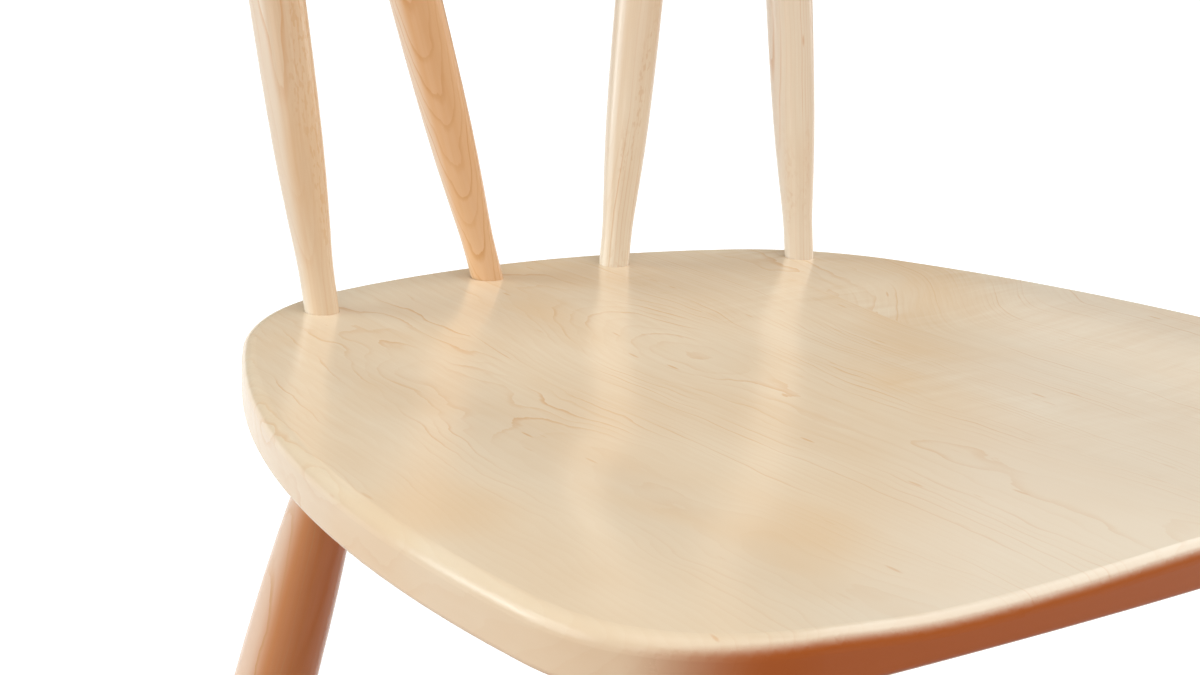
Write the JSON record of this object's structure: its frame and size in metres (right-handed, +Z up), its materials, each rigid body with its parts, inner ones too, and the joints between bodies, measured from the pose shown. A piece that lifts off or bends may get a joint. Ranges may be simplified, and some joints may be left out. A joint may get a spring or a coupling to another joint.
{
  "type": "windsor chair",
  "caption": "Spindle-back dining chair in pale hardwood: a saddled solid seat, turned splayed legs with stretchers and a bent crest rail on turned spindles.",
  "frame": {"origin": "on the floor, in the middle of the chair's bounding box", "axes": "+Z up; +Y towards the back of the chair, so a sitter looks along -Y; +X to the right of someone who faces the front"},
  "size_m": [0.46, 0.4918, 0.8042],
  "materials": {
    "seat_maple": "clear satin lacquer on edge-glued boards",
    "turned_maple": "clear satin lacquer on turned wood",
    "crest_maple": "clear satin lacquer on bent wood",
    "glide_nylon": "moulded, matte",
    "nail_steel": "plain bright steel"
  },
  "bodies": {
    "root": {"seat_board_1": "seat_maple", "seat_board_2": "seat_maple", "seat_board_3": "seat_maple", "seat_board_4": "seat_maple", "front_leg_left": "turned_maple", "front_leg_right": "turned_maple", "rear_leg_left": "turned_maple", "rear_leg_right": "turned_maple", "side_stretcher_left": "turned_maple", "side_stretcher_right": "turned_maple", "cross_stretcher": "turned_maple", "outer_spindle_left": "turned_maple", "outer_spindle_right": "turned_maple", "inner_spindle_left": "turned_maple", "inner_spindle_right": "turned_maple", "crest_rail": "crest_maple", "foot_glide_front_left": "glide_nylon", "foot_glide_front_right": "glide_nylon", "foot_glide_rear_left": "glide_nylon", "foot_glide_rear_right": "glide_nylon", "glide_nails": "nail_steel"}
  },
  "joints": []
}
